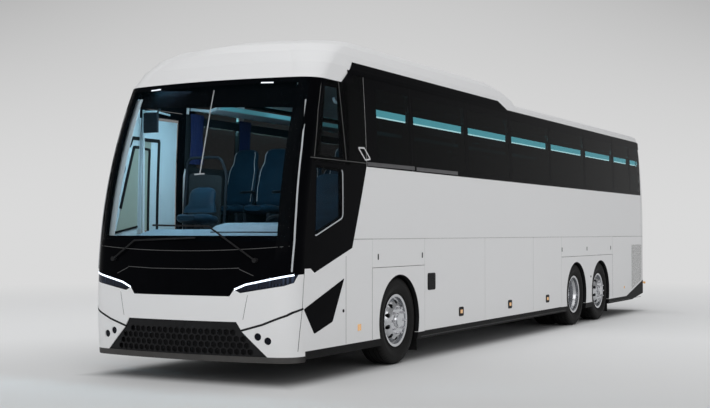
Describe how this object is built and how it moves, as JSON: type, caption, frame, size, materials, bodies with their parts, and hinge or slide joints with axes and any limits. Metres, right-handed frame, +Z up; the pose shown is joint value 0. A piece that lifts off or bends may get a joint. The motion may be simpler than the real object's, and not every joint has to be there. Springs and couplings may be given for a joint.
{
  "type": "coach bus",
  "caption": "White high-floor touring coach with black glass band, tall front fairing, luggage bays, steered front wheels and outward-swinging doors.",
  "frame": {"origin": "on the ground under the middle of the coach", "axes": "+Y points to the tail, +X to the coach's left, +Z up"},
  "size_m": [2.6219, 13.7027, 3.8],
  "materials": {
    "white_paint": "gloss white coach paint",
    "black_gloss": "gloss black moulded panel",
    "black_plastic": "grained dark grey moulding",
    "clear_glass": "lightly tinted laminated glass",
    "tinted_glass": "dark privacy glass",
    "lamp_lens": "clear polycarbonate over a dark reflector",
    "red_lens": "red lens",
    "amber_lens": "amber lens",
    "polished_alloy": "polished forged alloy",
    "tyre": "black tyre rubber",
    "black_rubber": "black rubber",
    "chassis_paint": "black chassis paint",
    "engine_metal": "bare cast iron",
    "bay_lining": "plain sheet lining",
    "floor_covering": "flecked vinyl floor covering",
    "cab_plastic": "blue-grey grained moulding",
    "seat_cloth": "dark blue woven seat cloth",
    "rack_trim": "pale trim"
  },
  "bodies": {
    "coach_body": {"air_springs": "black_rubber", "axles": "chassis_paint", "bonded_glass": "tinted_glass", "bumper_grille": "black_plastic", "cab_sides": "black_gloss", "dashboard": "cab_plastic", "driver_seat": "seat_cloth", "engine": "engine_metal", "floor": "floor_covering", "front_bumper": "white_paint", "front_lamps": "lamp_lens", "front_mask": "black_gloss", "luggage_bays": "bay_lining", "luggage_racks": "rack_trim", "mudflaps": "black_rubber", "passenger_seats": "seat_cloth", "rear_wall": "white_paint", "rockers": "black_plastic", "roof": "white_paint", "roof_fairing": "white_paint", "roof_hatches": "black_plastic", "side_lamps": "amber_lens", "side_walls": "white_paint", "skirts": "white_paint", "steering_wheel": "cab_plastic", "tail_lamps": "red_lens", "underframe": "chassis_paint", "wheelhouses": "black_plastic", "windscreen": "clear_glass", "wipers": "black_plastic"},
    "knuckle_left_body": {"knuckle_left": "chassis_paint"},
    "knuckle_right_body": {"knuckle_right": "chassis_paint"},
    "wheel_front_left": {"rim_front_left": "polished_alloy", "tyre_front_left": "tyre"},
    "wheel_drive_left": {"rim_drive_left": "polished_alloy", "tyre_drive_left": "tyre"},
    "wheel_tag_left": {"rim_tag_left": "polished_alloy", "tyre_tag_left": "tyre"},
    "wheel_front_right": {"rim_front_right": "polished_alloy", "tyre_front_right": "tyre"},
    "wheel_drive_right": {"rim_drive_right": "polished_alloy", "tyre_drive_right": "tyre"},
    "wheel_tag_right": {"rim_tag_right": "polished_alloy", "tyre_tag_right": "tyre"},
    "front_wheel_flap_left_body": {"front_wheel_flap_left": "white_paint"},
    "luggage_flap_1_left_body": {"luggage_flap_1_left": "white_paint"},
    "luggage_flap_2_left_body": {"luggage_flap_2_left": "white_paint"},
    "luggage_flap_3_left_body": {"luggage_flap_3_left": "white_paint"},
    "rear_wheel_flap_left_body": {"rear_wheel_flap_left": "white_paint"},
    "front_wheel_flap_right_body": {"front_wheel_flap_right": "white_paint"},
    "luggage_flap_1_right_body": {"luggage_flap_1_right": "white_paint"},
    "luggage_flap_2_right_body": {"luggage_flap_2_right": "white_paint"},
    "rear_wheel_flap_right_body": {"rear_wheel_flap_right": "white_paint"},
    "engine_lid_body": {"engine_lid": "white_paint"},
    "front_door_carrier": {"front_door_arms": "chassis_paint"},
    "front_door_leaf": {"front_door": "black_gloss", "front_door_glass": "tinted_glass"},
    "middle_door_carrier": {"middle_door_arms": "chassis_paint"},
    "middle_door_leaf": {"middle_door": "white_paint", "middle_door_glass": "tinted_glass"}
  },
  "joints": [
    {"name": "steer_left", "type": "hinge", "parent": "coach_body", "child": "knuckle_left_body", "pos_m": [1.094, -4.28, 0.508], "axis": [0, 0, 1], "range_deg": [-40, 40]},
    {"name": "steer_right", "type": "hinge", "parent": "coach_body", "child": "knuckle_right_body", "pos_m": [-1.094, -4.28, 0.508], "axis": [0, 0, 1], "range_deg": [-40, 40]},
    {"name": "spin_front_left", "type": "hinge", "parent": "knuckle_left_body", "child": "wheel_front_left", "pos_m": [1.094, -4.28, 0.508], "axis": [1, 0, 0], "continuous": true},
    {"name": "spin_drive_left", "type": "hinge", "parent": "coach_body", "child": "wheel_drive_left", "pos_m": [1.094, 2.45, 0.508], "axis": [1, 0, 0], "continuous": true},
    {"name": "spin_tag_left", "type": "hinge", "parent": "coach_body", "child": "wheel_tag_left", "pos_m": [1.094, 3.83, 0.508], "axis": [1, 0, 0], "continuous": true},
    {"name": "spin_front_right", "type": "hinge", "parent": "knuckle_right_body", "child": "wheel_front_right", "pos_m": [-1.094, -4.28, 0.508], "axis": [1, 0, 0], "continuous": true},
    {"name": "spin_drive_right", "type": "hinge", "parent": "coach_body", "child": "wheel_drive_right", "pos_m": [-1.094, 2.45, 0.508], "axis": [1, 0, 0], "continuous": true},
    {"name": "spin_tag_right", "type": "hinge", "parent": "coach_body", "child": "wheel_tag_right", "pos_m": [-1.094, 3.83, 0.508], "axis": [1, 0, 0], "continuous": true},
    {"name": "open_front_wheel_flap_left", "type": "hinge", "parent": "coach_body", "child": "front_wheel_flap_left_body", "pos_m": [1.275, -4.2865, 1.457], "axis": [0, -1, 0], "range_deg": [0, 95]},
    {"name": "open_luggage_flap_1_left", "type": "hinge", "parent": "coach_body", "child": "luggage_flap_1_left_body", "pos_m": [1.275, -2.608, 1.457], "axis": [0, -1, 0], "range_deg": [0, 95]},
    {"name": "open_luggage_flap_2_left", "type": "hinge", "parent": "coach_body", "child": "luggage_flap_2_left_body", "pos_m": [1.275, -0.6565, 1.457], "axis": [0, -1, 0], "range_deg": [0, 95]},
    {"name": "open_luggage_flap_3_left", "type": "hinge", "parent": "coach_body", "child": "luggage_flap_3_left_body", "pos_m": [1.275, 0.9875, 1.457], "axis": [0, -1, 0], "range_deg": [0, 95]},
    {"name": "open_rear_wheel_flap_left", "type": "hinge", "parent": "coach_body", "child": "rear_wheel_flap_left_body", "pos_m": [1.275, 3.12, 1.457], "axis": [0, -1, 0], "range_deg": [0, 95]},
    {"name": "open_front_wheel_flap_right", "type": "hinge", "parent": "coach_body", "child": "front_wheel_flap_right_body", "pos_m": [-1.275, -4.2865, 1.457], "axis": [0, 1, 0], "range_deg": [0, 95]},
    {"name": "open_luggage_flap_1_right", "type": "hinge", "parent": "coach_body", "child": "luggage_flap_1_right_body", "pos_m": [-1.275, -2.608, 1.457], "axis": [0, 1, 0], "range_deg": [0, 95]},
    {"name": "open_luggage_flap_2_right", "type": "hinge", "parent": "coach_body", "child": "luggage_flap_2_right_body", "pos_m": [-1.275, -0.6565, 1.457], "axis": [0, 1, 0], "range_deg": [0, 95]},
    {"name": "open_rear_wheel_flap_right", "type": "hinge", "parent": "coach_body", "child": "rear_wheel_flap_right_body", "pos_m": [-1.275, 3.12, 1.457], "axis": [0, 1, 0], "range_deg": [0, 95]},
    {"name": "open_engine_lid", "type": "hinge", "parent": "coach_body", "child": "engine_lid_body", "pos_m": [0, 6.85, 1.763], "axis": [1, 0, 0], "range_deg": [0, 80]},
    {"name": "swing_front_door_arms", "type": "hinge", "parent": "coach_body", "child": "front_door_carrier", "pos_m": [-1.165, -5.95, 1], "axis": [0, 0, 1], "range_deg": [0, 165]},
    {"name": "keep_front_door_parallel", "type": "hinge", "parent": "front_door_carrier", "child": "front_door_leaf", "pos_m": [-1.14, -5.5, 1], "axis": [0, 0, 1], "range_deg": [-165, 0]},
    {"name": "swing_middle_door_arms", "type": "hinge", "parent": "coach_body", "child": "middle_door_carrier", "pos_m": [-1.165, 0.468, 1], "axis": [0, 0, -1], "range_deg": [-165, 0]},
    {"name": "keep_middle_door_parallel", "type": "hinge", "parent": "middle_door_carrier", "child": "middle_door_leaf", "pos_m": [-1.14, 0.918, 1], "axis": [0, 0, -1], "range_deg": [0, 165]}
  ],
  "couplings": [
    {"joint": "steer_right", "follows": "steer_left", "ratio": 1},
    {"joint": "keep_front_door_parallel", "follows": "swing_front_door_arms", "ratio": -1},
    {"joint": "keep_middle_door_parallel", "follows": "swing_middle_door_arms", "ratio": -1}
  ]
}
